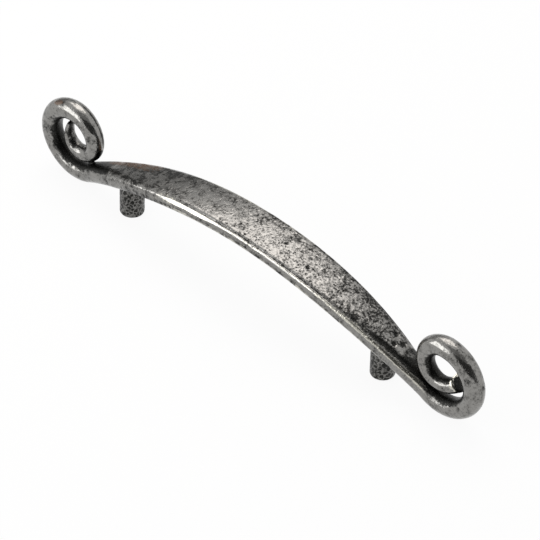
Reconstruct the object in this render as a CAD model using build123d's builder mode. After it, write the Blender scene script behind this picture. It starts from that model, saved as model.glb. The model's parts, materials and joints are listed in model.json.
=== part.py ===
from build123d import *

import os
from math import asin, copysign, cos, pi, radians, sin, tan

# Arch pull: a one-piece cast drawer handle with a hammered strap and a scroll at each end.
# The strap is a bar spread wide and bowed over the drawer front. Its ends stay round, dip towards
# the mounting plane and curl up and back over themselves into scrolls. Two round posts under the
# bow are drilled and tapped from below for the drawer screws. Millimetres, +X along the pull and
# +Z away from the drawer front, with the origin midway between the posts on the mounting plane.

# Mounting
hole_spacing = 128.0  # between the axes of the two posts
post_diameter = 9.5
post_base_round = 0.7
tap_drill_diameter = 3.3  # M4 x 0.7
tap_drill_depth = 10.0  # to the end of the straight wall
drill_point_angle = 118.0
tap_mouth_diameter = 4.4
tap_mouth_angle = 90.0

# Bow of the strap
bow_radius = 173.0  # of the strap's centreline
bow_overhang = 21.8  # from a post's axis out to the start of its scroll
scroll_clearance = 0.3  # mounting plane to the lowest point of the scrolls

# Strap section
strap_width = 18.8
strap_thickness = 4.7  # between the two hammered flats, in the middle
crown_thickness = 6.5  # over the rounded back, before the flats are taken off
round_squareness = 2.0  # of an ellipse or circle
edge_squareness = 4.0  # of the strap in the middle, on the way to a rectangle
flat_half_length = 75.0  # from the middle to the point of each leaf-shaped flat
leaf_fullness = 3.2  # how far the strap keeps its width towards the ends
leaf_blend = 1.25  # how softly it then narrows to the round bar

# Scrolls
bar_diameter = 8.0
entry_radius = 14.2
entry_turn = 90.0
outer_radius = 13.0
outer_turn = 120.0
inner_radius = 10.2
inner_turn = 90.0
under_radius = 7.6
under_turn = 90.0
eye_diameter = 6.2  # the bar is drawn down to this on its way inside
eye_radius = 6.2
right_eye_turn = 66.0  # this end is cut off square
left_eye_turn = 90.0  # this end runs on to a drawn-out tip
tip_radius = 14.0
tip_turn = 24.0
tip_width = 4.0
tip_thickness = 1.6

# Fineness of the lofted surfaces
strap_stations = 17
section_points = 16

# Places that follow from the sizes above
bow_half_span = hole_spacing / 2 + bow_overhang
bow_angle = asin(bow_half_span / bow_radius)
scroll_height = scroll_clearance + bar_diameter / 2  # of the centreline, at the foot of the scrolls
strap_height = scroll_height + (bow_radius + entry_radius) * (1 - cos(bow_angle))  # in the middle
upright = (Align.CENTER, Align.CENTER, Align.MIN)


def bow_point(angle, height=0):
    """Point at an angle along the bow, a height above the strap's centreline."""
    reach = bow_radius + height
    return Vector(reach * sin(angle), 0, strap_height - bow_radius + reach * cos(angle))


def spread(angle):
    """Share of the full spreading of the bar: 1 in the middle of the bow, 0 at its ends."""
    return (1 - abs(angle / bow_angle) ** leaf_fullness) ** leaf_blend


def between(bar_size, strap_size, share):
    """Size on the way from the round bar to the middle of the strap."""
    return bar_size + (strap_size - bar_size) * share


def oval(half_width, half_height, squareness):
    """Points round a closed curve between an ellipse and a rectangle, starting at its bottom."""
    points = []
    for step in range(section_points):
        turn = 2 * pi * step / section_points - pi / 2
        sideways = abs(cos(turn)) ** (2 / squareness) * half_width
        upward = abs(sin(turn)) ** (2 / squareness) * half_height
        points.append((copysign(sideways, cos(turn)), copysign(upward, sin(turn))))
    return points


def bar_section(plane, width, height, squareness):
    """Filled section of the bar on a plane across its length."""
    with BuildSketch(plane) as section:
        with BuildLine():
            Spline(*oval(width / 2, height / 2, squareness), periodic=True)
        make_face()
    return section.sketch


def strap_section(angle):
    """Filled section of the strap at an angle along the bow, before the flats are taken off."""
    share = spread(angle)
    plane = Plane(bow_point(angle), x_dir=(0, 1, 0), z_dir=(cos(angle), 0, -sin(angle)))
    width = between(bar_diameter, strap_width, share)
    height = between(bar_diameter, crown_thickness, share)
    return bar_section(plane, width, height, between(round_squareness, edge_squareness, share))


def flat_disc(over):
    """Disc whose rim runs along the flat on top of the strap (over = 1) or under it (over = -1)."""
    tip_angle = asin(flat_half_length / bow_radius)
    tip_height = between(bar_diameter, crown_thickness, spread(tip_angle)) / 2
    tip = bow_point(tip_angle, over * tip_height)
    middle = bow_point(0, over * strap_thickness / 2)
    drop = middle.Z - tip.Z
    radius = (tip.X**2 + drop**2) / (2 * drop)
    with BuildSketch(Plane.XZ) as disc:
        with Locations((0, middle.Z - radius)):
            Circle(radius)
    return disc.sketch


def across(arc, side):
    """Plane across the bar where an arc of its path ends."""
    return Plane(arc @ 1, x_dir=(0, 1, 0), z_dir=(arc % 1) * side)


def end_face(bar, arc):
    """Flat face of a swept bar where an arc of its path ends."""
    return bar.faces().filter_by(GeomType.PLANE).sort_by_distance(arc @ 1)[0]


def curl(side, strap_end):
    """Scroll on one side of the pull, from the strap's round end up, over and back inside.

    Returns the last arc of its path and the face where the bar stands at the end of it.
    """
    start = bow_point(side * bow_angle)
    heading = (side * cos(bow_angle), -sin(bow_angle))
    with BuildLine(Plane.XZ, mode=Mode.PRIVATE) as outer_path:
        entry = JernArc((start.X, start.Z), heading, entry_radius, side * entry_turn)
        over = JernArc(entry @ 1, entry % 1, outer_radius, side * outer_turn)
    with BuildLine(Plane.XZ, mode=Mode.PRIVATE) as inner_path:
        inward = JernArc(over @ 1, over % 1, inner_radius, side * inner_turn)
        under = JernArc(inward @ 1, inward % 1, under_radius, side * under_turn)
    eye_section = bar_section(across(under, side), eye_diameter, eye_diameter, round_squareness)
    outer_bar = sweep(strap_end, path=outer_path.line)
    inner_bar = sweep([end_face(outer_bar, over), eye_section], path=inner_path.line, multisection=True)
    return under, end_face(inner_bar, under)


with BuildPart() as arch_pull:
    # Bowed strap, spread from the round bar to a broad oval and back
    sections = []
    for station in range(strap_stations):
        sections.append(strap_section(bow_angle * (2 * station / (strap_stations - 1) - 1)))
    loft(sections)
    left_end, *_, right_end = arch_pull.faces().filter_by(GeomType.PLANE).sort_by(Axis.X)

    # Leaf-shaped flats on the strap's back and underside
    extrude(flat_disc(1), amount=strap_width, both=True, mode=Mode.INTERSECT)
    extrude(flat_disc(-1), amount=strap_width, both=True, mode=Mode.SUBTRACT)

    # Right scroll, cut off square inside
    right_under, right_bar_end = curl(1, right_end)
    with BuildLine(Plane.XZ, mode=Mode.PRIVATE) as right_eye:
        JernArc(right_under @ 1, right_under % 1, eye_radius, right_eye_turn)
    sweep(right_bar_end, path=right_eye.line)

    # Left scroll, run on to a drawn-out tip
    left_under, left_bar_end = curl(-1, left_end)
    with BuildLine(Plane.XZ, mode=Mode.PRIVATE) as left_eye:
        eye = JernArc(left_under @ 1, left_under % 1, eye_radius, -left_eye_turn)
        tip = JernArc(eye @ 1, eye % 1, tip_radius, -tip_turn)
    tip_section = bar_section(across(tip, -1), tip_width, tip_thickness, round_squareness)
    sweep([left_bar_end, tip_section], path=left_eye.line, multisection=True)

    # Posts, up into the strap and rounded at the foot
    post_height = bow_point(asin(hole_spacing / 2 / bow_radius)).Z
    with GridLocations(hole_spacing, 0, 2, 1):
        Cylinder(post_diameter / 2, post_height, align=upright)
    fillet(arch_pull.edges().group_by(Axis.Z)[0], post_base_round)

    # Tapped holes for the drawer screws, each with a lead-in at its mouth and a drill point
    tap_radius = tap_drill_diameter / 2
    point_depth = tap_radius / tan(radians(drill_point_angle / 2))
    with Locations(Plane.XY.rotated((180, 0, 0))):
        with GridLocations(hole_spacing, 0, 2, 1):
            CounterSinkHole(tap_radius, tap_mouth_diameter / 2, tap_drill_depth, tap_mouth_angle)
    with Locations((0, 0, tap_drill_depth)):
        with GridLocations(hole_spacing, 0, 2, 1):
            Cone(tap_radius, 0, point_depth, align=upright, mode=Mode.SUBTRACT)

arch_pull.part.label = "arch_pull"
os.makedirs("parts", exist_ok=True)
export_step(arch_pull.part, "parts/arch_pull.step")
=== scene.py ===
import json
from math import cos, pi, radians, sin, sqrt

import bmesh
import bpy
import numpy as np
from bpy.props import FloatProperty, FloatVectorProperty, IntProperty, PointerProperty
from mathutils import Matrix, Vector, noise
from mathutils.bvhtree import BVHTree


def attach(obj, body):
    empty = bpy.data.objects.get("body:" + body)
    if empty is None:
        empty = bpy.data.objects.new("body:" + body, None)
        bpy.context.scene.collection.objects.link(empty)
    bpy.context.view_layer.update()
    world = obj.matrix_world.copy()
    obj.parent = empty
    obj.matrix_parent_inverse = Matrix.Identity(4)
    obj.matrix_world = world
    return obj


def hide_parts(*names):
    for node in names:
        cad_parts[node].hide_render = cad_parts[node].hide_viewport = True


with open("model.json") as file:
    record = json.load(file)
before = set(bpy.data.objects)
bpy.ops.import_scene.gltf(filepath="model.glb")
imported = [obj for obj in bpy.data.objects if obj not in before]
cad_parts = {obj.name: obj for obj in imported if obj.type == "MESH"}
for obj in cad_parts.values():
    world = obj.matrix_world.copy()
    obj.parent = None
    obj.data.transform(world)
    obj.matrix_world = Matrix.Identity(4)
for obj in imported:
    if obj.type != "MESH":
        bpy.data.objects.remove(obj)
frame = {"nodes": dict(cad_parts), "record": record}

bl_info = {
    "name": "Arch Pull",
    "version": (1, 0, 0),
    "blender": (4, 5, 0),
    "location": "View3D > Sidebar > Arch Pull",
    "description": "Dresses a cast drawer pull with its hammered face, pits, threads and antique finish",
    "category": "Object",
}

MM = 0.001
NODE = "arch_pull"

# Screw holes in the posts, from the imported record
HOLES = next(mount for mount in frame["record"]["mounts"] if mount["name"] == "screw_holes")["dims"]
HALF_SPACING = HOLES["spacing_x_mm"] * MM / 2
HOLE_RADIUS = HOLES["hole_r_mm"] * MM

# Even mesh: millimetres under which the solid's points are merged, and rounds of smoothing before
# and after the points are put back on the solid
MERGE_DISTANCE = 0.001
FIRST_SMOOTHING = 4
LAST_SMOOTHING = 2

# Middle of the right scroll, in millimetres; the left one mirrors it
SCROLL_EYE = (92.3, 0.0, 19.7)

# Last turn of the right scroll: middle and radius of its arc, in millimetres, its turn,
# and how far from the middle its points reach
TAIL_CENTRE = (91.28, 0.0, 19.3)
TAIL_RADIUS = 6.2
TAIL_TURN = radians(66.2)
TAIL_REACH = 10.0

# The same turn opened by shearing: radius in millimetres, turn and shift backwards
OPEN_RADIUS = 10.0
OPEN_TURN = radians(48.7)
TAIL_SHIFT = 1.4

# Burr on the sheared end: length in millimetres, and its place and spread round the bar in radians
BURR_LENGTH = 2.6
BURR_PLACE = 0.9
BURR_SPREAD = 0.5

# Cut end of the right scroll: its middle, in millimetres, and the way it faces
TAIL_END = (98.8, 1.4, 16.5)
TAIL_FACING = (0.66, 0.0, 0.751)

# Strap: millimetres over and under its centreline and past its flat that are measured, and at how
# many stations
STRAP_HEIGHT = 4
STRAP_MARGIN = 12
STRAP_STATIONS = 100

# Near lip: way that its worn facet faces, from upright towards the near side, and half its length
# in millimetres, with a station at each
LIP_SLOPE = radians(54)
LIP_HALF_LENGTH = 85

# Edge of the hollow at the right end of the flat: millimetres along and across the strap
HOLLOW_ALONG = (54, 62, 68, 80)
HOLLOW_EDGE = (-6.4, -4.2, -2.6, -1.6)

# Deep dents in the flat: millimetres along and across the strap, radius and depth
DENTS = (
    (67.2, 2.6, 1.4, 0.55),
    (69.6, -1.1, 1.2, 0.5),
    (71.4, 1.8, 1.4, 0.55),
    (14.6, 1.0, 0.8, 0.35),
    (25.5, 2.1, 0.9, 0.35),
    (27.9, -2.1, 1.1, 0.35),
)

# Stretches of the strap, in millimetres from its middle: start, end and blend
NEAR_GROOVE = (-15, 45, 14)
FAR_GROOVE = (25, 70, 12)
HOLLOW_RUN = (62, 76, 8)
# Painted highlight on the flat's near side
HIGHLIGHT_NEAR_SIDE = (-20, 18, 10)
# Painted shade on the flat's near side beside the hollow
SHADE_NEAR_SIDE = (50, 66, 10)
LEFT_NECK = (-90, -76, 6)
RIGHT_NECK = (81, 90, 6)
# Painted glint on the near lip
PAINTED_GLINT_RUN = (-43, -35, 2)
# Burnish on the right near lip: rubbed metal and a painted highlight
RUBBED_LIP_AND_HIGHLIGHT = (46, 82, 10)
BLOOM_RUN = (-70, -61, 13)

# Spot of bloom on top of the left scroll: middle and half sizes, in millimetres
BLOOM_SPOT = (-101, -2, 32)
BLOOM_SPOT_SIZE = (3.5, 1.5, 3.5)

# Search for recesses: reach and start above the surface, in millimetres, and number of rays
RECESS_REACH = 12
RECESS_START = 0.3
RECESS_RAYS = 40

# Rounds of averaging with the neighbours
RECESS_ROUNDS = 3
LIP_ROUNDS = 45
LIP_HIGHLIGHT_ROUNDS = 6
CAVITY_ROUNDS = 3
CREST_ROUNDS = 16

# Tap, in millimetres: its core's radius over the hole's, its start below the posts' feet, the
# distance under which its points are merged, and how near to a cut a point counts as on it
TAP_OVERSIZE = 0.02
TAP_START = -0.3
TAP_MERGE = 0.02
CUT_TOLERANCE = 0.01

# Bare metal in the holes: where it fades out and how high it reaches, in millimetres, the angle
# from which a thread's edge is sharp, and the length under which an edge of the cut mesh is closed
BARE_RADIUS = (1.9, 2.4)
BARE_HEIGHT = 11.5
SHARP_THREAD = radians(30)
SLIVER = 0.01

# Shares of the finish, kept on the casting's points for its material. The patina share also carries
# painted shade, and the crest share carries painted highlights as well as worn metal
SHARES = ("patina_and_shade", "cavity", "crest", "bloom", "raw", "coarse")

# Grain of the finish, in lumps or cells to the metre
CLOUD_GRAIN = 300
GRIT_GRAIN = 1000
FINE_GRAIN = 3000
SPECK_GRAIN = 1700
CRACKLE_CELLS = 580
POCK_CELLS = 1000

# Bending of the cells: lumps to the metre and reach in millimetres
CRACKLE_WARP = (900, 0.5)
POCK_WARP = (700, 0.9)

# Soft boxes: name, direction from the pull, distance, width, height, power and colour
LAMPS = (
    ("left_box", (-0.383, 0.321, 0.866), 0.9, 0.66, 0.66, 3.5, (1, 0.95, 0.915)),
    ("front_box", (-0.59, -0.75, 0.3), 0.8, 0.7, 0.48, 3.2, (1, 1, 1)),
)

# Cards that the metal reflects: name, direction from the pull, distance, width, height and level
CARDS = (
    ("ceiling", (0.25, -0.4, 0.88), 1.5, 1.6, 1.2, 0.4),
    ("camera_card", (0.64, -0.56, 0.525), 1.1, 1.84, 0.93, 0.07),
    ("right_card", (0.974, -0.085, 0.26), 1.1, 0.55, 0.5, 0.12),
    ("left_card", (-0.9, 0.4, 0.25), 0.9, 0.8, 0.4, 0.45),
)

# Studio: half size of the floor, how far it glows where it is seen, and strength of the even light
FLOOR_SIZE = 4
FLOOR_GLOW = 0.92
EVEN_LIGHT = 0.6


def length(name, description, millimetres):
    """Property for a length, with its default in millimetres."""
    return FloatProperty(
        name=name, description=description, default=millimetres * MM, subtype="DISTANCE", precision=5
    )


def angle(name, description, degrees):
    """Property for an angle, with its default in degrees."""
    return FloatProperty(name=name, description=description, default=radians(degrees), subtype="ANGLE")


def colour(name, description, default):
    """Property for a colour."""
    return FloatVectorProperty(
        name=name, description=description, default=default, subtype="COLOR", min=0, max=1
    )


class CastingSizes(bpy.types.PropertyGroup):
    """Sizes of the casting's surface."""

    mesh_step: length("Mesh step", "Distance between neighbouring points of the surface", 0.42)
    bow_radius: length("Bow radius", "Radius of the strap's centreline", 173)
    flat_half_length: length(
        "Flat half length", "From the middle of the strap to the point of its leaf-shaped flat", 75
    )
    hammer_size: length("Hammer mark size", "Width of a hammer mark", 6.5)
    hammer_depth: length("Hammer mark depth", "Depth of a hammer mark on the flat", 0.09)
    pit_size: length("Pit size", "Width of a pit with the metal round it", 0.85)
    pit_depth: length("Pit depth", "Depth of the deepest pits", 0.17)
    crown_depth: length("Crown depth", "How far the flat falls away towards its edges", 0.5)
    rim_inset: length("Rim inset", "From the edge of the strap to the groove inside its rim", 1.0)
    rim_depth: length("Rim groove depth", "Depth of the groove inside the strap's rim", 0.22)
    facet_depth: length("Facet depth", "How far the near lip is worn to a facet", 0.2)
    hollow_depth: length("Hollow depth", "Depth of the hollow beside the right point of the flat", 0.55)


class ThreadSizes(bpy.types.PropertyGroup):
    """Sizes of the thread in the posts."""

    diameter: length("Diameter", "Outside diameter of the screw that fits", 4)
    pitch: length("Pitch", "Rise of the thread in one turn", 0.7)
    depth: length("Depth", "How far up the hole the thread is cut", 8.4)
    steps: IntProperty(name="Steps", description="Points in one turn of the thread", default=24, min=8)


class Finish(bpy.types.PropertyGroup):
    """Colours of the antique finish."""

    metal: colour("Metal", "Colour of the brushed-back metal", (0.255, 0.25, 0.238))
    # Patina colour, also used for the painted shade on the strap and the cut end
    patina_and_shade: colour("Patina", "Colour of the dark patina in pits and recesses", (0.014, 0.014, 0.013))
    # Burnish colour, for metal worn bright and also for painted highlights along the near lip, as a glint
    # on it, and on the cut end's rim
    burnish_and_highlight: colour("Burnish", "Colour of the metal where handling has worn it bright", (0.5, 0.485, 0.43))
    rust: colour("Rust", "Colour of the brown bloom at the left end", (0.17, 0.095, 0.055))


class Studio(bpy.types.PropertyGroup):
    """Camera and floor."""

    azimuth: angle("Azimuth", "Direction of the camera round the pull", 42.64)
    elevation: angle("Elevation", "Height of the camera above the horizon", 40.99)
    roll: angle("Roll", "Turn of the camera about its line of sight", 1.55)
    distance: length("Distance", "From the camera to the point that it looks at", 1481)
    aim: FloatVectorProperty(
        name="Aim",
        description="Point that the camera looks at",
        default=(0.7 * MM, 7.33 * MM, 5.66 * MM),
        subtype="XYZ",
        unit="LENGTH",
    )
    lens: FloatProperty(
        name="Lens",
        description="Focal length of the camera on a 36 mm frame, in millimetres",
        default=267.5,
    )
    floor: colour("Floor", "Colour of the floor", (0.9, 0.9, 0.9))


def smooth_step(low, high, value):
    """0 at low and before it, 1 at high and past it, and a smooth change between them."""
    share = np.clip((value - low) / (high - low), 0, 1)
    return share * share * (3 - 2 * share)


def step_mm(low, high, value):
    """Smooth step between two places in millimetres."""
    return smooth_step(low * MM, high * MM, value)


def bump_between(low, high, blend, value):
    """1 between low and high, fading to 0 over a blend outside them."""
    return smooth_step(low - blend, low, value) * (1 - smooth_step(high, high + blend, value))


def stretch(limits, value):
    """1 on a stretch given by its start, end and blend in millimetres, and 0 off it."""
    start, end, blend = limits
    return bump_between(start * MM, end * MM, blend * MM, value)


def noise_at(points, size, seed):
    """Smooth noise from -1 to 1 at each point, with lumps of about that size."""
    scaled = points / size + seed
    return np.array([noise.noise(point) for point in scaled])


def cell_distance(points, size):
    """Distance of each point from the nearest centre of an uneven pattern, as a share of its size."""
    scaled = points / size
    return np.array([noise.voronoi(point)[0][0] for point in scaled])


def highest_at(stations, places, values):
    """Highest of the values whose places are nearest to each station."""
    highest = np.full(len(stations), -1.0)
    nearest = np.abs(places[:, None] - stations[None, :]).argmin(1)
    np.maximum.at(highest, nearest, values)
    return highest


class Surface:
    """Points, outward directions and neighbours of a mesh, as arrays."""

    def __init__(self, mesh):
        count = len(mesh.vertices)
        self.points = np.empty(count * 3)
        mesh.vertices.foreach_get("co", self.points)
        self.points = self.points.reshape(-1, 3)
        self.normals = np.empty(count * 3)
        mesh.vertex_normals.foreach_get("vector", self.normals)
        self.normals = self.normals.reshape(-1, 3)
        edges = np.empty(len(mesh.edges) * 2, dtype=int)
        mesh.edges.foreach_get("vertices", edges)
        self.edges = edges.reshape(-1, 2)
        self.valence = np.bincount(self.edges.ravel(), minlength=count)

    def blurred(self, values, rounds):
        """Values averaged with their neighbours', a number of times."""
        ends = self.edges.T
        for _ in range(rounds):
            total = values.copy()
            np.add.at(total, ends[0], values[ends[1]])
            np.add.at(total, ends[1], values[ends[0]])
            share = 1 + self.valence
            values = total / (share[:, None] if values.ndim > 1 else share)
        return values

    def proud(self, rounds):
        """How far each point stands out of the surface round it."""
        return np.einsum("ij,ij->i", self.points - self.blurred(self.points, rounds), self.normals)


def even_mesh(step):
    """Copy of the solid's mesh with points a step apart, smooth and on the solid's surface."""
    shell = bmesh.new()
    shell.from_mesh(frame["nodes"][NODE].data)
    bmesh.ops.remove_doubles(shell, verts=shell.verts, dist=MERGE_DISTANCE * MM)
    solid = BVHTree.FromBMesh(shell)
    mesh = bpy.data.meshes.new("merged_solid")
    shell.to_mesh(mesh)
    merged = bpy.data.objects.new("merged_solid", mesh)
    bpy.context.scene.collection.objects.link(merged)
    remesh = merged.modifiers.new("even_points", "REMESH")
    remesh.mode = "VOXEL"
    remesh.voxel_size = step
    evaluated = merged.evaluated_get(bpy.context.evaluated_depsgraph_get())
    even = bpy.data.meshes.new_from_object(evaluated)
    bpy.data.objects.remove(merged)
    bpy.data.meshes.remove(mesh)
    shell.clear()
    shell.from_mesh(even)
    axes = {"use_axis_x": True, "use_axis_y": True, "use_axis_z": True}
    for _ in range(FIRST_SMOOTHING):
        bmesh.ops.smooth_vert(shell, verts=shell.verts, factor=0.5, **axes)
    for vert in shell.verts:
        vert.co = solid.find_nearest(vert.co)[0]
    for _ in range(LAST_SMOOTHING):
        bmesh.ops.smooth_vert(shell, verts=shell.verts, factor=0.5, **axes)
    shell.to_mesh(even)
    shell.free()
    return even


def sheared_tail(mesh):
    """Opens the last turn of the right scroll, as shearing the bar off left it, with a burr on its rim."""
    points = np.empty(len(mesh.vertices) * 3)
    mesh.vertices.foreach_get("co", points)
    points = points.reshape(-1, 3)
    from_centre = points - np.array(TAIL_CENTRE) * MM
    reach = np.hypot(from_centre[:, 0], from_centre[:, 2])
    turn = np.arctan2(from_centre[:, 0], -from_centre[:, 2])
    tail = (reach < TAIL_REACH * MM) & (turn > 0) & (turn < TAIL_TURN + 0.2)
    share = turn[tail] / TAIL_TURN
    inward = TAIL_RADIUS * MM - reach[tail]
    side = points[tail, 1]

    # Burr on the upper rim, and an end a little swollen
    from_axis = np.hypot(inward, side)
    around = np.arctan2(side, inward)
    rim = smooth_step(0.88, 1.0, share) * step_mm(2, 3, from_axis)
    burr = rim * np.exp(-(((around - BURR_PLACE) / BURR_SPREAD) ** 2)) * BURR_LENGTH * MM
    swollen = 1 + 0.1 * smooth_step(0.8, 1.0, share) + burr / np.maximum(from_axis, MM)
    turned = share * OPEN_TURN + 0.6 * burr / (OPEN_RADIUS * MM)
    radius = OPEN_RADIUS * MM - inward * swollen
    points[tail, 0] = TAIL_CENTRE[0] * MM + radius * np.sin(turned)
    points[tail, 2] = (TAIL_CENTRE[2] - TAIL_RADIUS + OPEN_RADIUS) * MM - radius * np.cos(turned)
    points[tail, 1] = side * swollen + TAIL_SHIFT * MM * share**2
    mesh.vertices.foreach_set("co", points.ravel())
    mesh.update()


class Strap:
    """Where points lie on the bowed strap: along it, across it and above its centreline.

    near, body, top, under and edge are 1 within the strap's depth, on the strap between the points
    of its flats, on its back, on its underside and along its edges. rounded is how far its near
    upper lip is rounded over.
    """

    def __init__(self, surface, sizes):
        points = surface.points
        self.along = points[:, 0]
        self.side = points[:, 1]
        middle = points[(np.abs(self.along) < MM) & (np.abs(self.side) < MM)]
        self.centre = (middle[:, 2].min() + middle[:, 2].max()) / 2 - sizes.bow_radius
        self.rise = np.hypot(self.along, points[:, 2] - self.centre) - sizes.bow_radius
        slope = np.arctan2(self.along, points[:, 2] - self.centre)
        self.upward = np.stack([np.sin(slope), np.zeros(len(slope)), np.cos(slope)], 1)
        self.facing = np.einsum("ij,ij->i", surface.normals, self.upward)

        # Half width, measured at stations
        reach = sizes.flat_half_length
        end = reach + STRAP_MARGIN * MM
        stations = np.linspace(-end, end, STRAP_STATIONS)
        on_strap = (np.abs(self.rise) < STRAP_HEIGHT * MM) & (np.abs(self.along) < end)
        widths = highest_at(stations, self.along[on_strap], np.abs(self.side[on_strap]))
        self.half_width = np.interp(self.along, stations, widths)
        self.inset = self.half_width - np.abs(self.side)

        within = 1 - smooth_step(reach - 6 * MM, reach + 3 * MM, np.abs(self.along))
        self.near = step_mm(-5, -4, self.rise) * (1 - step_mm(4, 5, self.rise))
        self.body = self.near * within
        self.top = smooth_step(0.75, 0.95, self.facing) * self.near * within
        self.under = smooth_step(0.75, 0.95, -self.facing) * self.near * within
        self.edge = self.near * (1 - step_mm(1.5, 3, self.inset))
        taper = step_mm(-58, -38, self.along) * (1 - step_mm(70, 84, self.along))
        taper *= 1 - 0.4 * step_mm(22, 45, self.along)
        upper = step_mm(-1, 0.5, self.rise)
        self.rounded = self.edge * taper * upper * step_mm(2, -2, self.side)


def lip_facet(points, strap, sizes):
    """Movement that wears a narrow facet along the near lip of the strap, and the facet's share of
    burnish: worn metal that also paints a highlight along the lip.
    """
    outward = cos(LIP_SLOPE) * strap.upward - sin(LIP_SLOPE) * np.array([0, 1, 0])
    rise = np.hypot(points[:, 0], points[:, 2] - strap.centre) - sizes.bow_radius
    height = cos(LIP_SLOPE) * rise - sin(LIP_SLOPE) * points[:, 1]
    on_lip = (strap.near > 0.5) & (points[:, 1] < 0)

    # Crest of the lip, evened out over seven stations
    end = LIP_HALF_LENGTH * MM
    stations = np.linspace(-end, end, 2 * LIP_HALF_LENGTH + 1)
    crests = highest_at(stations, strap.along[on_lip], height[on_lip])
    crests = np.convolve(np.pad(crests, 3, mode="edge"), np.full(7, 1 / 7), mode="valid")

    # Deepest left of the middle, thin in the middle and shallow on the right
    left = step_mm(-42, -32, strap.along) * (1 - step_mm(14, 38, strap.along))
    left *= 1 - 0.85 * step_mm(-22, -6, strap.along)
    right = step_mm(38, 54, strap.along)
    fade = 1 - step_mm(76, 84, strap.along)
    ragged = 1 + 0.5 * noise_at(points, 7 * MM, 6.6)
    depth = sizes.facet_depth * ragged * np.maximum(left, 0.5 * right * fade)
    worn = height - np.interp(strap.along, stations, crests) + depth
    worn = np.where(on_lip & (depth > 0), np.maximum(worn, 0), 0)
    # Burnish on the facet: worn metal, and a painted highlight along the lip
    bright = np.maximum(1 - step_mm(8, 24, strap.along), 0.55 * right)
    return -worn[:, None] * outward, step_mm(0, 0.04, worn) * bright


def rubbed_lip_and_highlight(shaped, strap):
    """Share of burnish along the right part of the near lip: partly metal rubbed by handling, partly a
    painted highlight where the lip's crest catches light.
    """
    facing = shaped.blurred(np.einsum("ij,ij->i", shaped.normals, strap.upward), LIP_HIGHLIGHT_ROUNDS)
    lip = bump_between(0.42, 0.8, 0.12, facing) * strap.near * (strap.side < 0)
    lip *= 1 - step_mm(2, 3, strap.inset)
    return lip * stretch(RUBBED_LIP_AND_HIGHLIGHT, strap.along)


def recess_share(surface, mesh):
    """Share of the space over each point that the casting itself hides close by."""
    tree = BVHTree.FromPolygons(
        [vert.co for vert in mesh.vertices], [list(face.vertices) for face in mesh.polygons]
    )
    reach = RECESS_REACH * MM
    turn = pi * (3 - sqrt(5))
    directions = []
    for step in range(RECESS_RAYS):
        height = 1 - (2 * step + 1) / RECESS_RAYS
        around = sqrt(1 - height * height)
        directions.append(Vector((around * cos(turn * step), around * sin(turn * step), height)))
    hidden = np.zeros(len(surface.points))
    for index, (point, normal) in enumerate(zip(surface.points, surface.normals)):
        outward = Vector(normal)
        start = Vector(point) + outward * RECESS_START * MM
        total = 0.0
        blocked = 0.0
        for direction in directions:
            facing = direction.dot(outward)
            if facing < 0.1:
                continue
            total += facing
            distance = tree.ray_cast(start, direction, reach)[3]
            if distance is not None:
                blocked += facing * (1 - 0.6 * distance / reach)
        hidden[index] = blocked / total
    return hidden


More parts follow.
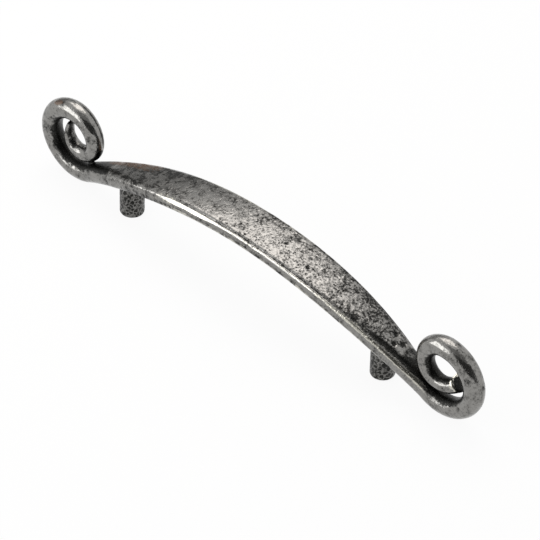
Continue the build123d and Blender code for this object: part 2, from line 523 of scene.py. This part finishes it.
def hammered(surface, strap, sizes):
    """Depth of the worked surface at each point, share of pits, and share of grooves and hollows."""
    points = surface.points
    flat = np.maximum(strap.top, 0.6 * strap.under)
    warped = points + 1.2 * MM * np.stack([noise_at(points, 5 * MM, k * 7.3) for k in range(3)], 1)
    marks = np.clip(1 - 1.4 * cell_distance(warped, sizes.hammer_size), 0, 1)
    swell = noise_at(points, 11 * MM, 3.7)
    depth = (0.6 + 0.4 * flat) * sizes.hammer_depth * (0.6 * marks + 0.4 * (0.5 + 0.5 * swell))

    # Crown across the flat, half of it raised along the middle
    across = strap.side / np.maximum(strap.half_width, MM)
    depth += strap.top * sizes.crown_depth * (across**2 - 0.5)

    # Groove inside the rim, along the middle of the near edge and the right half of the far edge
    inset = strap.inset + 0.25 * MM * noise_at(points, 6 * MM, 9.1)
    groove = np.exp(-(((inset - sizes.rim_inset) / (0.4 * MM)) ** 2))
    near_side = step_mm(0, 2, -strap.side) * stretch(NEAR_GROOVE, strap.along)
    far_side = step_mm(0, 2, strap.side) * stretch(FAR_GROOVE, strap.along)
    groove *= strap.top * np.maximum(near_side, 0.7 * far_side)
    depth += groove * sizes.rim_depth

    # Hollow between the near rim and the right point of the flat
    line = np.interp(strap.along / MM, HOLLOW_ALONG, HOLLOW_EDGE) * MM
    crest = -strap.half_width + 0.9 * MM
    across = np.clip((strap.side - crest) / np.maximum(line - crest, 0.5 * MM), 0, 1)
    hollow = np.sin(pi * across**1.6) * stretch(HOLLOW_RUN, strap.along)
    hollow *= step_mm(0.5, 2, strap.rise) * (np.abs(strap.along) < 90 * MM)
    depth += hollow * sizes.hollow_depth

    # Seam over the left scroll, and torn metal on the right one's end
    depth += seam_share(surface) * sizes.rim_depth
    torn = np.maximum(noise_at(points, 1.5 * MM, 4.4), 0)
    depth += cut_end(surface, 4.2, -1) * 0.3 * MM * torn

    # Pits, thickest in the middle and right of the flat and thin elsewhere
    cluster = noise_at(points, 8 * MM, 1.9)
    grain = noise_at(warped, 0.8 * sizes.pit_size, 5.3)
    grain = grain + 0.5 * noise_at(points, 0.4 * sizes.pit_size, 2.2)
    thick = flat * (0.02 + 0.2 * step_mm(-30, 15, strap.along))
    thick += 0.15 * flat * cluster + (1 - flat) * (0.5 * cluster + 0.08)
    pits = smooth_step(0.34, 0.9, grain + thick)
    depth += (0.4 + 0.6 * flat) * sizes.pit_depth * pits

    # Deep dents
    dents = np.zeros(len(points))
    for along, side, radius, deep in DENTS:
        away = np.hypot(strap.along - along * MM, strap.side - side * MM) / (radius * MM)
        dent = strap.body * (1 - smooth_step(0.45, 1.0, away + 0.25 * grain)) * (strap.rise > 0)
        depth += dent * deep * MM
        dents = np.maximum(dents, dent)
    hollows = np.maximum.reduce((groove, smooth_step(0.15, 0.6, hollow), dents))
    return depth, np.maximum(pits, dents), hollows


def cut_end(surface, reach, facing):
    """1 on the right scroll's cut end, within a reach of its middle in millimetres.

    facing is the least cosine to the way that the end faces. -1 takes in the bar behind it as well.
    """
    away = np.linalg.norm(surface.points - np.array(TAIL_END) * MM, axis=1)
    turned = smooth_step(facing - 0.1, facing + 0.1, surface.normals @ TAIL_FACING)
    return (1 - smooth_step(reach * MM - 0.4 * MM, reach * MM + 0.4 * MM, away)) * turned


def cut_rim(surface):
    """1 on the ragged rim of the right scroll's cut end."""
    from_end = surface.points - np.array(TAIL_END) * MM
    ahead = from_end @ TAIL_FACING
    from_axis = np.linalg.norm(from_end - np.outer(ahead, TAIL_FACING), axis=1)
    rim = step_mm(2.3, 2.8, from_axis) * (from_axis < 7 * MM)
    inner = from_end @ (-TAIL_FACING[2], 0, TAIL_FACING[0])
    rim *= step_mm(-2, 0.5, inner)
    ragged = ahead + 0.5 * MM * noise_at(surface.points, 1.3 * MM, 8.2)
    return rim * bump_between(-0.9 * MM, 1.5 * MM, 0.4 * MM, ragged)


def seam_share(surface):
    """1 in the seam that runs over the outside of the left scroll, a little behind its middle."""
    from_eye = surface.points * [-1, 0, 1] - np.array(SCROLL_EYE) * MM
    turn = np.degrees(np.arctan2(from_eye[:, 2], from_eye[:, 0])) % 360
    outer = bump_between(11 * MM, 17 * MM, MM, np.hypot(from_eye[:, 0], from_eye[:, 2]))
    line = np.exp(-(((surface.points[:, 1] - 1.3 * MM) / (0.5 * MM)) ** 2))
    return line * outer * bump_between(88, 176, 12, turn) * (surface.points[:, 0] < 0)


def raw_share(surface, strap):
    """Share of unpolished casting skin: on the posts and under the strap."""
    from_post = np.hypot(np.abs(surface.points[:, 0]) - HALF_SPACING, surface.points[:, 1])
    post = (1 - step_mm(4.9, 5.5, from_post)) * step_mm(-2, -4, strap.rise)
    return np.maximum(post, strap.under)


def eye_share(surface):
    """Share of the inside of the scrolls, which faces the eye."""
    points = surface.points
    to_eye = np.array(SCROLL_EYE) * MM - np.abs(points) * [1, 0, 1]
    to_eye[:, 0] *= np.sign(points[:, 0])
    distance = np.linalg.norm(to_eye, axis=1)
    inward = np.einsum("ij,ij->i", surface.normals, to_eye) / distance
    inside = smooth_step(0.2, 0.95, inward) * (1 - step_mm(17, 22, distance))
    return inside * (1 - 0.5 * (1 - step_mm(7, 9, distance)) * (points[:, 0] < 0))


def patina_and_shade_share(surface, strap, recess, hollows):
    """Share of dark patina that polishing left, most in recesses and on the necks of the scrolls, with the
    strap's sides darker below its centreline, painted shade on the flat's far side and near side, its far
    edge, the near lip's left end and the cut end, and a painted highlight that lightens the flat's near
    side.
    """
    along = strap.along

    # Back of the strap: patina darker at its ends, and painted shade darker toward its far side
    ends = step_mm(15, 65, -along) + 0.6 * step_mm(25, 55, along)
    # Painted shade: more patina toward the flat's far side
    far = step_mm(-3, 7, strap.side)
    # Painted highlight: less patina on the flat's near side in the middle
    painted_highlight_near_side = step_mm(-3, -7, strap.side) * stretch(HIGHLIGHT_NEAR_SIDE, along)
    # Painted shade: more patina on the flat's near side beside the hollow
    painted_shade_near_side = step_mm(-2, -6, strap.side) * stretch(SHADE_NEAR_SIDE, along)
    flat = strap.top * (0.23 + 0.3 * ends + 0.14 * far - 0.1 * painted_highlight_near_side + 0.2 * painted_shade_near_side)

    # Sides of the strap, darker below its centreline, and its edges
    side = strap.body * (1 - strap.top) * (1 - strap.under) * step_mm(2, -2, strap.rise)
    side *= step_mm(-80, -50, along)
    side *= 1 - 0.4 * step_mm(20, 50, along)
    # Painted shade: patina along the rounded far edge, standing in for the dark it reflects
    painted_far_edge_shade = (1 - step_mm(0.8, 2, strap.inset)) * step_mm(0, 2, strap.side)
    painted_far_edge_shade *= strap.body * step_mm(-40, 0, along) * smooth_step(0.3, 0.6, strap.facing)
    # Painted shade: patina on the near lip's left end, so it shows no bright reflected line
    painted_left_lip_shade = strap.edge * strap.body * step_mm(-40, -56, along)
    painted_left_lip_shade *= step_mm(0, -2, strap.side) * step_mm(0, 1.5, strap.rise)

    neck = smooth_step(0.4, 0.8, strap.facing) * strap.near
    neck *= stretch(LEFT_NECK, along) + stretch(RIGHT_NECK, along)
    shares = (
        smooth_step(0.08, 0.34, recess),
        0.4 * raw_share(surface, strap),
        0.6 * side,
        flat,
        hollows * (0.5 + 0.45 * step_mm(54, 68, along)),
        neck,
        eye_share(surface),
        # Painted shade: dark on the right scroll's cut end face
        cut_end(surface, 3.2, 0.85),
        0.85 * seam_share(surface),
        0.22 + 0.16 * noise_at(surface.points, 6 * MM, 11.3),
        0.6 * painted_far_edge_shade,
        0.4 * painted_left_lip_shade,
    )
    # The cut end's ragged rim is kept clear of patina: torn bright metal and a painted highlight
    return np.maximum.reduce(shares) * (1 - 0.9 * cut_rim(surface))


def bloom_share(surface, strap):
    """Share of brown bloom: along the far edge at the left end and on top of the left scroll."""
    end = stretch(BLOOM_RUN, strap.along) * strap.near
    patches = 0.85 + 0.55 * noise_at(surface.points, 4 * MM, 2.7)
    end *= smooth_step(0.4, 0.85, strap.facing) * patches
    end *= step_mm(10, 3, strap.inset) * step_mm(-2, 2, strap.side)
    spot = (surface.points - np.array(BLOOM_SPOT) * MM) / (np.array(BLOOM_SPOT_SIZE) * MM)
    return np.maximum(end, 1 - smooth_step(0.4, 1, np.linalg.norm(spot, axis=1)))


def worked_surface(mesh, sizes):
    """Moves the mesh's points to the hammered and worn surface, and keeps the finish's shares on them."""
    surface = Surface(mesh)
    strap = Strap(surface, sizes)
    recess = surface.blurred(recess_share(surface, mesh), RECESS_ROUNDS)
    depth, pits, hollows = hammered(surface, strap, sizes)
    worn = strap.rounded[:, None] * (surface.blurred(surface.points, LIP_ROUNDS) - surface.points)
    moved = surface.points + worn - surface.normals * depth[:, None]
    movement, facet = lip_facet(moved, strap, sizes)
    moved += movement
    moved[:, 2] = np.maximum(moved[:, 2], 0)
    mesh.vertices.foreach_set("co", moved.ravel())
    mesh.update()

    # Bright crests where the pull is handled and round the cut end, those round the end partly a painted
    # highlight, and dark cavities off them
    shaped = Surface(mesh)
    # Burnish on the right near lip, rubbed metal and a painted highlight, with patina and cavities kept
    # off it
    lip = rubbed_lip_and_highlight(shaped, strap)
    cavity = step_mm(0, 0.09, -shaped.proud(CAVITY_ROUNDS)) * (1 - 0.7 * lip)
    crest = step_mm(0.1, 0.22, shaped.blurred(shaped.proud(CREST_ROUNDS), 2))
    handled = strap.edge * strap.body * step_mm(-46, -38, strap.along)
    crest *= np.maximum(handled, cut_end(surface, 4.5, -1))
    # Painted glint: a patch of burnish on the rounded near lip
    painted_glint = stretch(PAINTED_GLINT_RUN, strap.along) * (strap.side < 0) * strap.rounded
    # Burnish shares: worn crests, and painted highlights from the glint, the cut end's rim, the lip facet
    # and the right lip
    crests = (crest, 0.5 * painted_glint, 0.7 * cut_rim(surface), facet, 0.85 * lip)

    raw = raw_share(surface, strap)
    flat = strap.top * (0.3 + 0.7 * step_mm(-45, 15, strap.along))
    patina_and_shade = patina_and_shade_share(surface, strap, recess, hollows)
    shares = {
        "patina_and_shade": patina_and_shade * (1 - facet) * (1 - 0.95 * lip),
        "cavity": np.maximum(cavity, 0.9 * pits),
        "crest": np.maximum.reduce(crests),
        "bloom": bloom_share(surface, strap),
        "raw": raw,
        "coarse": np.maximum.reduce((flat, raw, 0.25 * strap.body)),
    }
    for name in SHARES:
        share = mesh.attributes.new(name, "FLOAT", "POINT")
        share.data.foreach_set("value", shares[name].astype(np.float32))


def tap(sizes, radius):
    """Closed solid of the tap that cuts the thread of one hole, standing on the origin."""
    cutter = bmesh.new()
    outer = sizes.diameter / 2
    profile = [
        cutter.verts.new((radius, 0, 0)),
        cutter.verts.new((outer, 0, 0.44 * sizes.pitch)),
        cutter.verts.new((outer, 0, 0.56 * sizes.pitch)),
        cutter.verts.new((radius, 0, sizes.pitch)),
    ]
    chain = [cutter.edges.new(pair) for pair in zip(profile, profile[1:])]
    turns = int(sizes.depth / sizes.pitch) + 4
    bmesh.ops.spin(
        cutter,
        geom=profile + chain,
        cent=(0, 0, 0),
        axis=(0, 0, 1),
        dvec=(0, 0, sizes.pitch / sizes.steps),
        angle=2 * pi * turns,
        steps=turns * sizes.steps,
        use_merge=False,
        use_duplicate=False,
    )
    bmesh.ops.remove_doubles(cutter, verts=cutter.verts, dist=TAP_MERGE * MM)
    bmesh.ops.translate(cutter, verts=cutter.verts, vec=(0, 0, -2 * sizes.pitch))
    near = CUT_TOLERANCE * MM
    for height, outward in ((TAP_START * MM, -1), (sizes.depth, 1)):
        bmesh.ops.bisect_plane(
            cutter,
            geom=cutter.verts[:] + cutter.edges[:] + cutter.faces[:],
            plane_co=(0, 0, height),
            plane_no=(0, 0, outward),
            clear_outer=True,
        )
        rim = [edge for edge in cutter.edges if edge.is_boundary]
        rim = [edge for edge in rim if all(abs(vert.co.z - height) < near for vert in edge.verts)]
        bmesh.ops.edgeloop_fill(cutter, edges=rim)
    bmesh.ops.recalc_face_normals(cutter, faces=cutter.faces)
    return cutter


def cut_threads(piece, sizes):
    """Cuts a thread into both posts' holes."""
    for place in (-HALF_SPACING, HALF_SPACING):
        cutter = tap(sizes, HOLE_RADIUS + TAP_OVERSIZE * MM)
        bmesh.ops.translate(cutter, verts=cutter.verts, vec=(place, 0, 0))
        mesh = bpy.data.meshes.new("tap")
        cutter.to_mesh(mesh)
        cutter.free()
        tool = bpy.data.objects.new("tap", mesh)
        bpy.context.scene.collection.objects.link(tool)
        cut = piece.modifiers.new("thread", "BOOLEAN")
        cut.operation = "DIFFERENCE"
        cut.solver = "MANIFOLD"
        cut.object = tool
        evaluated = piece.evaluated_get(bpy.context.evaluated_depsgraph_get())
        threaded = bpy.data.meshes.new_from_object(evaluated)
        if len(threaded.vertices) <= len(piece.data.vertices):
            raise RuntimeError("The tap cut no thread")
        piece.modifiers.remove(cut)
        piece.data = threaded
        bpy.data.objects.remove(tool)
        bpy.data.meshes.remove(mesh)


def split_wide_faces(shell):
    """Splits faces of more than four corners into triangles."""
    bmesh.ops.triangulate(shell, faces=[face for face in shell.faces if len(face.verts) > 4])


def bare_holes(mesh):
    """Bright metal and sharp threads in the posts' holes, which were cut after the finish was put on."""
    points = Surface(mesh).points
    from_axis = np.hypot(np.abs(points[:, 0]) - HALF_SPACING, points[:, 1])
    bare = (1 - step_mm(*BARE_RADIUS, from_axis)) * (points[:, 2] < BARE_HEIGHT * MM)
    for name in SHARES:
        share = mesh.attributes[name]
        values = np.empty(len(points), dtype=np.float32)
        share.data.foreach_get("value", values)
        values += bare * ((name == "crest") - values)
        share.data.foreach_set("value", values)
    shell = bmesh.new()
    shell.from_mesh(mesh)
    for edge in shell.edges:
        if all(bare[vert.index] > 0.5 for vert in edge.verts):
            edge.smooth = edge.calc_face_angle(0) < SHARP_THREAD

    # Slivers and many-sided faces that the taps left
    split_wide_faces(shell)
    bmesh.ops.dissolve_degenerate(shell, dist=SLIVER * MM, edges=shell.edges)
    split_wide_faces(shell)
    shell.to_mesh(mesh)
    shell.free()


class Shade:
    """A value in a material's node tree. Arithmetic on it adds Math nodes."""

    def __init__(self, tree, socket):
        self.tree = tree
        self.socket = socket

    def node(self, kind, settings=None, output=0, **sockets):
        """Adds a node, with its settings first, and returns one of its outputs.

        A socket is given by its name, with _ for a space, or as i and its number.
        """
        made = self.tree.nodes.new(kind)
        for name, value in (settings or {}).items():
            setattr(made, name, value)
        for name, value in sockets.items():
            key = int(name[1:]) if name[1:].isdigit() else name.replace("_", " ")
            target = made.inputs[key]
            if isinstance(value, Shade):
                self.tree.links.new(value.socket, target)
            else:
                target.default_value = value
        return Shade(self.tree, made.outputs[output])

    def math(self, operation, first, second=0.0, clamp=False):
        """Math node on two values."""
        settings = {"operation": operation, "use_clamp": clamp}
        return self.node("ShaderNodeMath", settings, i0=first, i1=second)

    def __add__(self, other):
        return self.math("ADD", self, other)

    __radd__ = __add__

    def __sub__(self, other):
        return self.math("SUBTRACT", self, other)

    def __rsub__(self, other):
        return self.math("SUBTRACT", other, self)

    def __mul__(self, other):
        return self.math("MULTIPLY", self, other)

    __rmul__ = __mul__

    def held(self):
        """The value kept between 0 and 1."""
        return self.math("ADD", self, 0.0, clamp=True)

    def ramp(self, low, high):
        """0 below low, 1 above high and a smooth rise between them."""
        settings = {"interpolation_type": "SMOOTHSTEP"}
        return self.node("ShaderNodeMapRange", settings, Value=self, From_Min=low, From_Max=high)

    def mix(self, first, second):
        """Colour between two colours, by this share."""
        settings = {"data_type": "RGBA", "clamp_factor": True}
        return self.node("ShaderNodeMix", settings, 2, i0=self, i6=first, i7=second)

    def vector(self, operation, **sockets):
        """Vector Math node."""
        return self.node("ShaderNodeVectorMath", {"operation": operation}, 0, **sockets)

    def warped(self, place, scale, reach):
        """A place moved about by noise, up to about a reach in millimetres."""
        moved = self.node("ShaderNodeTexNoise", None, "Color", Vector=place, Scale=scale, Detail=1.0)
        centred = self.vector("SUBTRACT", i0=moved, i1=(0.5, 0.5, 0.5))
        short = self.vector("SCALE", i0=centred, Scale=2 * (reach * MM))
        return self.vector("ADD", i0=place, i1=short)

    def noise(self, place, scale, detail, rough):
        """Noise from 0 to 1 at a place, with a number of lumps to the metre."""
        sockets = {"Vector": place, "Scale": scale, "Detail": detail, "Roughness": rough}
        return self.node("ShaderNodeTexNoise", None, 0, **sockets)

    def cells(self, feature, place, scale):
        """Distance in an uneven pattern of cells, with a number of them to the metre."""
        settings = {"feature": feature}
        return self.node("ShaderNodeTexVoronoi", settings, "Distance", Vector=place, Scale=scale)


def antique_metal(finish):
    """Cast metal with a dark patina left in its recesses and its high places worn bright; its dark colour
    also paints shade, and its bright colour paints highlights, where the shares carry them.
    """
    material = bpy.data.materials.new("antique_metal")
    material.use_nodes = True
    tree = material.node_tree
    shader = tree.nodes["Principled BSDF"]
    start = Shade(tree, None)
    place = start.node("ShaderNodeTexCoord", None, "Object")
    patina_and_shade, cavity, crest, bloom, raw, coarse = (
        start.node("ShaderNodeAttribute", {"attribute_name": name}, "Fac") for name in SHARES
    )

    # Patterns: clouds, grit, fine grain, specks, the crackled casting skin and small pocks
    cloud = start.noise(place, CLOUD_GRAIN, 6.0, 0.7)
    grit = start.noise(place, GRIT_GRAIN, 2.0, 0.5)
    uneven = grit - 0.5
    fine = start.noise(place, FINE_GRAIN, 2.0, 0.5)
    specks = start.noise(place, SPECK_GRAIN, 3.0, 0.6).ramp(0.52, 0.7)
    net = start.cells("DISTANCE_TO_EDGE", start.warped(place, *CRACKLE_WARP), CRACKLE_CELLS)
    crackle = raw * net.ramp(0.02, 0.2)
    middles = start.cells("F1", start.warped(place, *POCK_WARP), POCK_CELLS)
    pocks = (0.35 + 0.65 * coarse) * (1 - raw) * (1 - middles.ramp(0.18, 0.42)) * cloud.ramp(0.4, 0.54)

    # Dark patina with painted shade, patchy where there is neither none nor all of it, and bright worn
    # metal with painted highlights
    patchy = patina_and_shade * (1 - patina_and_shade) * (4 - 2.4 * raw)
    patches = (2.9 - 1.3 * coarse) * (cloud - 0.5) + (0.6 + 0.8 * coarse) * uneven
    spread = patina_and_shade + patchy * patches
    stain = (cavity + 0.6 * uneven).ramp(0.2, 0.9)
    dark = spread.ramp(0.1, 0.8) + 0.6 * stain + 0.6 * crackle + 0.7 * pocks + 0.3 * specks
    dark = dark.held() * (1 - 0.25 * fine.ramp(0.54, 0.72))
    bright = (crest + 1.6 * uneven).ramp(0.3, 0.8) * (1 - spread.ramp(0.5, 0.8))
    rusty = (bloom + 1.2 * uneven).ramp(0.2, 0.8) * 0.6

    base = dark.mix((*finish.metal, 1), (*finish.patina_and_shade, 1))
    base = bright.mix(base, (*finish.burnish_and_highlight, 1))
    base = rusty.mix(base, (*finish.rust, 1))
    tree.links.new(base.socket, shader.inputs["Base Color"])
    rough = 0.14 + 0.09 * coarse + 0.25 * dark + 0.2 * uneven
    tree.links.new(rough.held().socket, shader.inputs["Roughness"])
    metallic = 1 - 0.06 * dark
    tree.links.new(metallic.held().socket, shader.inputs["Metallic"])
    height = (0.07 + 0.93 * coarse) * (0.5 * grit + 0.3 * fine) - 0.6 * pocks - 0.3 * crackle
    bump = start.node("ShaderNodeBump", None, 0, Strength=0.8, Distance=0.18 * MM, Height=height)
    tree.links.new(bump.socket, shader.inputs["Normal"])
    return material


class ARCHPULL_OT_casting(bpy.types.Operator):
    """Make the cast body with its hammered face, pits and threaded posts"""

    bl_idname = "archpull.casting"
    bl_label = "Casting"

    def execute(self, context):
        scene = context.scene
        mesh = even_mesh(scene.casting_sizes.mesh_step)
        sheared_tail(mesh)
        worked_surface(mesh, scene.casting_sizes)
        piece = bpy.data.objects.new("cast_pull", mesh)
        scene.collection.objects.link(piece)
        cut_threads(piece, scene.thread_sizes)
        bare_holes(piece.data)
        piece.data.polygons.foreach_set("use_smooth", [True] * len(piece.data.polygons))
        piece.data.materials.clear()
        piece.data.materials.append(antique_metal(scene.finish))
        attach(piece, "root")
        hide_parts(NODE)
        return {"FINISHED"}


def seen_directly(start):
    """1 for rays that show the background: from the camera, or by way of metal or glass."""
    camera = start.node("ShaderNodeLightPath", None, "Is Camera Ray")
    glossy = start.node("ShaderNodeLightPath", None, "Is Glossy Ray")
    through = start.node("ShaderNodeLightPath", None, "Is Transmission Ray")
    return (camera + glossy + through).held()


def link_output(shade, kind):
    """Links a shader to a new output node of its tree."""
    output = shade.tree.nodes.new(kind)
    shade.tree.links.new(shade.socket, output.inputs["Surface"])


class ARCHPULL_OT_stage(bpy.types.Operator):
    """Set up the floor, the light, the cards that the metal reflects and the camera"""

    bl_idname = "archpull.stage"
    bl_label = "Stage"

    def execute(self, context):
        scene = context.scene
        scene.view_settings.view_transform = "Standard"
        self.floor(scene, scene.studio)
        self.world(scene)
        self.lamps(scene)
        self.cards(scene)
        self.camera(scene, scene.studio)
        return {"FINISHED"}

    def floor(self, scene, studio):
        """Wide pale floor at the posts' feet."""
        sheet = bmesh.new()
        bmesh.ops.create_grid(sheet, x_segments=1, y_segments=1, size=FLOOR_SIZE)
        mesh = bpy.data.meshes.new("floor")
        sheet.to_mesh(mesh)
        sheet.free()
        floor = bpy.data.objects.new("floor", mesh)
        scene.collection.objects.link(floor)
        material = bpy.data.materials.new("floor_paper")
        material.use_nodes = True
        material.node_tree.nodes.clear()
        start = Shade(material.node_tree, None)
        paper = start.node("ShaderNodeBsdfDiffuse", None, 0, Color=(*studio.floor, 1))
        glow = start.node("ShaderNodeEmission", None, 0, Color=(1, 1, 1, 1), Strength=1.0)
        seen = seen_directly(start) * FLOOR_GLOW
        both = start.node("ShaderNodeMixShader", None, 0, i0=seen, i1=paper, i2=glow)
        link_output(both, "ShaderNodeOutputMaterial")
        mesh.materials.append(material)

    def world(self, scene):
        """White round the pull where it is seen, and a softer light everywhere else."""
        world = bpy.data.worlds.new("studio")
        world.use_nodes = True
        world.node_tree.nodes.clear()
        start = Shade(world.node_tree, None)
        light = start.node("ShaderNodeBackground", None, 0, Color=(1, 1, 1, 1), Strength=EVEN_LIGHT)
        white = start.node("ShaderNodeBackground", None, 0, Color=(1, 1, 1, 1), Strength=1.0)
        both = start.node("ShaderNodeMixShader", None, 0, i0=seen_directly(start), i1=light, i2=white)
        link_output(both, "ShaderNodeOutputWorld")
        scene.world = world

    def lamps(self, scene):
        """Soft boxes: one high at the back and a low one in front, both on the left."""
        for name, direction, distance, width, height, power, tint in LAMPS:
            light = bpy.data.lights.new(name, "AREA")
            light.shape = "RECTANGLE"
            light.size = width
            light.size_y = height
            light.energy = power
            light.color = tint
            lamp = bpy.data.objects.new(name, light)
            away = Vector(direction).normalized()
            lamp.location = away * distance
            lamp.rotation_euler = away.to_track_quat("Z", "Y").to_euler()
            lamp.visible_camera = False
            scene.collection.objects.link(lamp)

    def cards(self, scene):
        """Grey cards outside the picture that the metal reflects, and that light nothing."""
        for name, direction, distance, width, height, level in CARDS:
            material = bpy.data.materials.new(name)
            material.use_nodes = True
            material.node_tree.nodes.clear()
            start = Shade(material.node_tree, None)
            glow = start.node("ShaderNodeEmission", None, 0, Color=(1, 1, 1, 1), Strength=level)
            link_output(glow, "ShaderNodeOutputMaterial")
            sheet = bmesh.new()
            bmesh.ops.create_grid(sheet, x_segments=1, y_segments=1, size=0.5)
            bmesh.ops.scale(sheet, verts=sheet.verts, vec=(width, height, 1))
            away = Vector(direction).normalized()
            turn = away.to_track_quat("Z", "Y").to_matrix().to_4x4()
            placed = Matrix.Translation(away * distance) @ turn
            bmesh.ops.transform(sheet, verts=sheet.verts, matrix=placed)
            mesh = bpy.data.meshes.new(name)
            sheet.to_mesh(mesh)
            sheet.free()
            mesh.materials.append(material)
            card = bpy.data.objects.new(name, mesh)
            card.visible_camera = False
            card.visible_diffuse = False
            card.visible_shadow = False
            scene.collection.objects.link(card)

    def camera(self, scene, studio):
        """Camera at the photograph's place."""
        data = bpy.data.cameras.new("camera")
        data.lens = studio.lens
        data.sensor_width = 36
        data.clip_end = 100
        camera = bpy.data.objects.new("camera", data)
        turn, lift = studio.azimuth, studio.elevation
        back = Vector((sin(turn) * cos(lift), -cos(turn) * cos(lift), sin(lift)))
        place = Matrix.Translation(Vector(studio.aim) + back * studio.distance)
        aim = back.to_track_quat("Z", "Y").to_matrix().to_4x4()
        camera.matrix_world = place @ aim @ Matrix.Rotation(studio.roll, 4, "Z")
        scene.collection.objects.link(camera)
        scene.camera = camera


class ARCHPULL_PT_panel(bpy.types.Panel):
    """Sizes, colours and steps of the arch pull"""

    bl_label = "Arch Pull"
    bl_idname = "ARCHPULL_PT_panel"
    bl_space_type = "VIEW_3D"
    bl_region_type = "UI"
    bl_category = "Arch Pull"

    def draw(self, context):
        scene = context.scene
        for group in (scene.casting_sizes, scene.thread_sizes, scene.finish, scene.studio):
            box = self.layout.box()
            for name in group.__annotations__:
                box.prop(group, name)
        self.layout.operator("archpull.casting")
        self.layout.operator("archpull.stage")


GROUPS = {
    "casting_sizes": CastingSizes,
    "thread_sizes": ThreadSizes,
    "finish": Finish,
    "studio": Studio,
}
CLASSES = (*GROUPS.values(), ARCHPULL_OT_casting, ARCHPULL_OT_stage, ARCHPULL_PT_panel)


def register():
    for kind in CLASSES:
        bpy.utils.register_class(kind)
    for name, group in GROUPS.items():
        setattr(bpy.types.Scene, name, PointerProperty(type=group))


def unregister():
    for name in GROUPS:
        delattr(bpy.types.Scene, name)
    for kind in reversed(CLASSES):
        bpy.utils.unregister_class(kind)


def main():
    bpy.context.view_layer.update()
    register()
    bpy.ops.archpull.casting()
    bpy.ops.archpull.stage()


if __name__ == "__main__":
    main()
